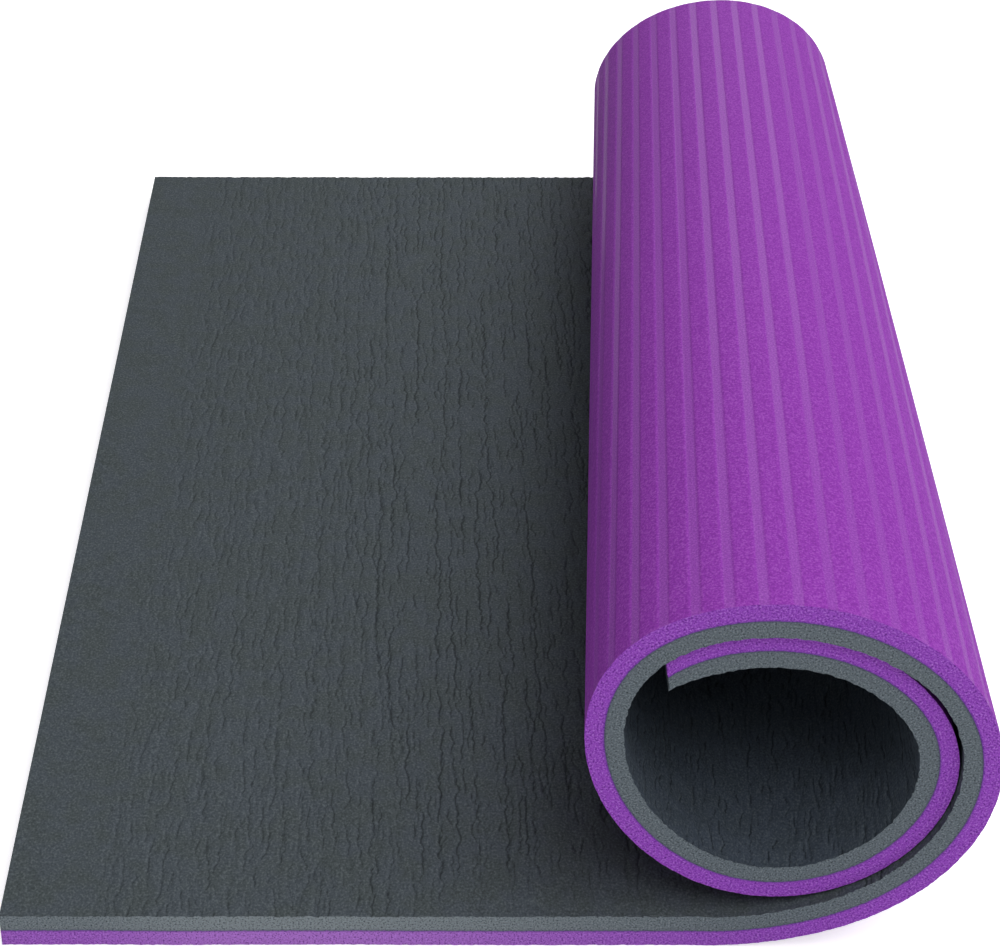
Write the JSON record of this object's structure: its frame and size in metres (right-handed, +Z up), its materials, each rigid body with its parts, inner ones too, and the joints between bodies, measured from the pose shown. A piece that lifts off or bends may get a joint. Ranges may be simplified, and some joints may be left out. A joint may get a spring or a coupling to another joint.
{
  "type": "exercise mat",
  "caption": "Two-layer foam exercise mat, one end laid flat and the rest rolled up, ribbed on the underside and wrinkled on top.",
  "frame": {"origin": "on the floor, under the centre of the bounding box", "axes": "+Z up from the floor; +Y along the mat's width, away from the end of the roll that faces the viewer; +X along the mat's length, from the flat free edge to the roll"},
  "size_m": [0.37, 0.6106, 0.1443],
  "materials": {
    "purple_foam": "closed-cell polyethylene foam skin, satin matt, moulded with fine ribs",
    "grey_foam": "closed-cell polyethylene foam skin, matt, with fine cross wrinkles"
  },
  "bodies": {
    "root": {"purple": "purple_foam", "grey": "grey_foam"}
  },
  "joints": []
}
